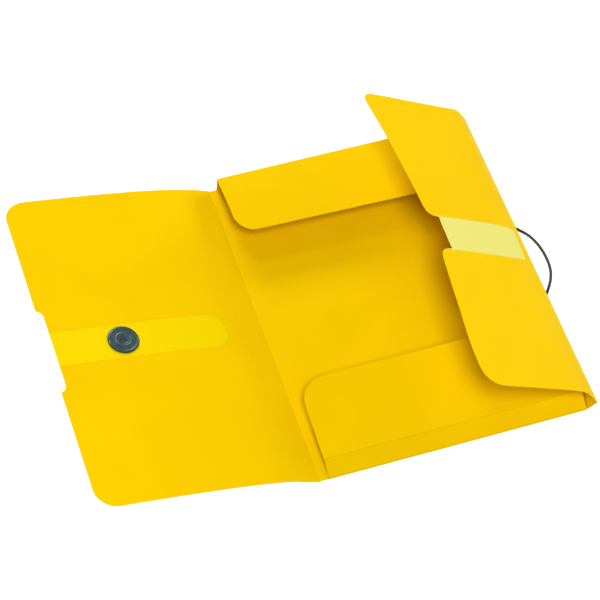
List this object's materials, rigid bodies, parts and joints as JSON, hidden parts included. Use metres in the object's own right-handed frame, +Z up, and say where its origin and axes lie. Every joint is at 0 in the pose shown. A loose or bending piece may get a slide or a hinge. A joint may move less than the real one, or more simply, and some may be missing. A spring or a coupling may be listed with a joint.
{
  "type": "elastic closure folder",
  "caption": "Document folder of creased plastic sheet, lying open: bowed cover, tuck flaps inside, raised side flap, elastic loop and cover button.",
  "frame": {"origin": "centre of the underside of the back panel, on the surface that the folder lies on", "axes": "+X from the spine to the side gusset, +Y from the bottom gusset to the top gusset, +Z up"},
  "size_m": [0.4581, 0.3186, 0.0938],
  "materials": {
    "sheet": "satin polypropylene sheet",
    "button": "moulded, satin gloss",
    "elastic": "braided round elastic",
    "clip": "plated"
  },
  "bodies": {
    "back": {"back_panel": "sheet", "elastic_clip_upper": "clip", "elastic_clip_lower": "clip"},
    "spine": {"spine_panel": "sheet"},
    "cover": {"front_cover": "sheet", "button_disc": "button", "button_cap": "button"},
    "top_wall": {"top_gusset": "sheet"},
    "top_tuck": {"top_flap": "sheet"},
    "bottom_wall": {"bottom_gusset": "sheet"},
    "bottom_tuck": {"bottom_flap": "sheet"},
    "side_wall": {"side_gusset": "sheet"},
    "side_tuck": {"side_flap": "sheet"},
    "elastic": {"elastic_loop": "elastic"}
  },
  "joints": [
    {"name": "spine_crease", "type": "hinge", "parent": "back", "child": "spine", "pos_m": [-0.1212, 0, 0.0003], "axis": [0, 1, 0], "range_deg": [-9, 63]},
    {"name": "cover_crease", "type": "hinge", "parent": "spine", "child": "cover", "pos_m": [-0.13881, 0, 0.00927], "axis": [0, 1, 0], "range_deg": [-5, 98]},
    {"name": "top_wall_crease", "type": "hinge", "parent": "back", "child": "top_wall", "pos_m": [0, 0.156, 0.0003], "axis": [1, 0, 0], "range_deg": [-33, 2]},
    {"name": "top_flap_crease", "type": "hinge", "parent": "top_wall", "child": "top_tuck", "pos_m": [0, 0.1553, 0.0178], "axis": [1, 0, 0], "range_deg": [-31, 10]},
    {"name": "bottom_wall_crease", "type": "hinge", "parent": "back", "child": "bottom_wall", "pos_m": [0, -0.156, 0.0003], "axis": [-1, 0, 0], "range_deg": [-31, 4]},
    {"name": "bottom_flap_crease", "type": "hinge", "parent": "bottom_wall", "child": "bottom_tuck", "pos_m": [0, -0.1417, 0.0099], "axis": [-1, 0, 0], "range_deg": [-31, 6]},
    {"name": "side_wall_crease", "type": "hinge", "parent": "back", "child": "side_wall", "pos_m": [0.1212, 0, 0.0003], "axis": [0, -1, 0], "range_deg": [-46, 13.7]},
    {"name": "side_flap_crease", "type": "hinge", "parent": "side_wall", "child": "side_tuck", "pos_m": [0.1255, 0, 0.018], "axis": [0, -1, 0], "range_deg": [-94, 21]},
    {"name": "elastic_swing", "type": "hinge", "parent": "back", "child": "elastic", "pos_m": [0.1216, 0, 0.0022], "axis": [0, -1, 0], "range_deg": [0, 55]}
  ]
}
